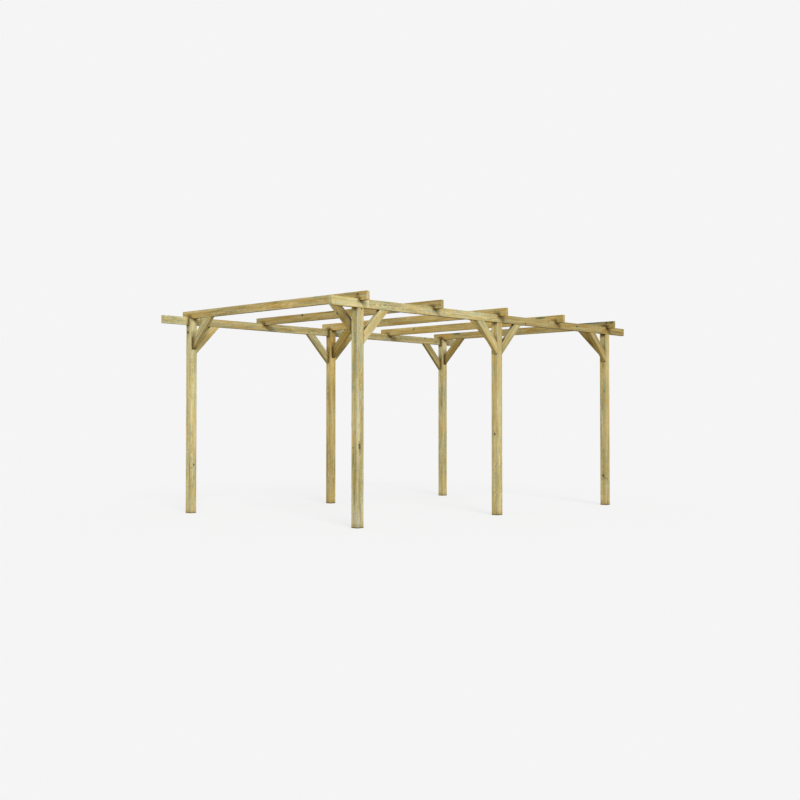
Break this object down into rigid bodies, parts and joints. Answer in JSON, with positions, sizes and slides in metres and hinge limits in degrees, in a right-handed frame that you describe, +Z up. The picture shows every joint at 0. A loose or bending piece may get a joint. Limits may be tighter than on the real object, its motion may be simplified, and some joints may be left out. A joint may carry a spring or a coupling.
{
  "type": "wooden pergola",
  "caption": "Free-standing timber pergola: square posts with rebated heads, spliced beams, notched rafters laid across them, and corner braces.",
  "frame": {"origin": "on the ground, at the middle of the pergola's plan", "axes": "+X along the beams, towards the right end; +Y along the rafters, from front to back; +Z up"},
  "size_m": [5.434, 3.188, 2.445],
  "materials": {
    "posts": "planed softwood, pressure treated, yellowish tan with grey-green streaks",
    "beams": "planed softwood, pressure treated, yellowish tan with grey-green streaks",
    "rafters": "planed softwood, pressure treated, honey tan",
    "braces": "planed softwood, pressure treated, yellowish tan"
  },
  "bodies": {
    "root": {"back_left_beam": "beams", "back_left_end_beam": "beams", "back_left_post": "posts", "back_left_post_right_brace": "braces", "back_left_rafter_brace": "braces", "back_middle_post": "posts", "back_middle_post_left_brace": "braces", "back_middle_post_right_brace": "braces", "back_middle_rafter_brace": "braces", "back_right_beam": "beams", "back_right_end_beam": "beams", "back_right_post": "posts", "back_right_post_left_brace": "braces", "back_right_rafter_brace": "braces", "front_left_beam": "beams", "front_left_end_beam": "beams", "front_left_post": "posts", "front_left_post_right_brace": "braces", "front_left_rafter_brace": "braces", "front_middle_post": "posts", "front_middle_post_left_brace": "braces", "front_middle_post_right_brace": "braces", "front_middle_rafter_brace": "braces", "front_right_beam": "beams", "front_right_end_beam": "beams", "front_right_post": "posts", "front_right_post_left_brace": "braces", "front_right_rafter_brace": "braces", "rafter_1": "rafters", "rafter_2": "rafters", "rafter_3": "rafters", "rafter_4": "rafters", "rafter_5": "rafters"}
  },
  "joints": []
}
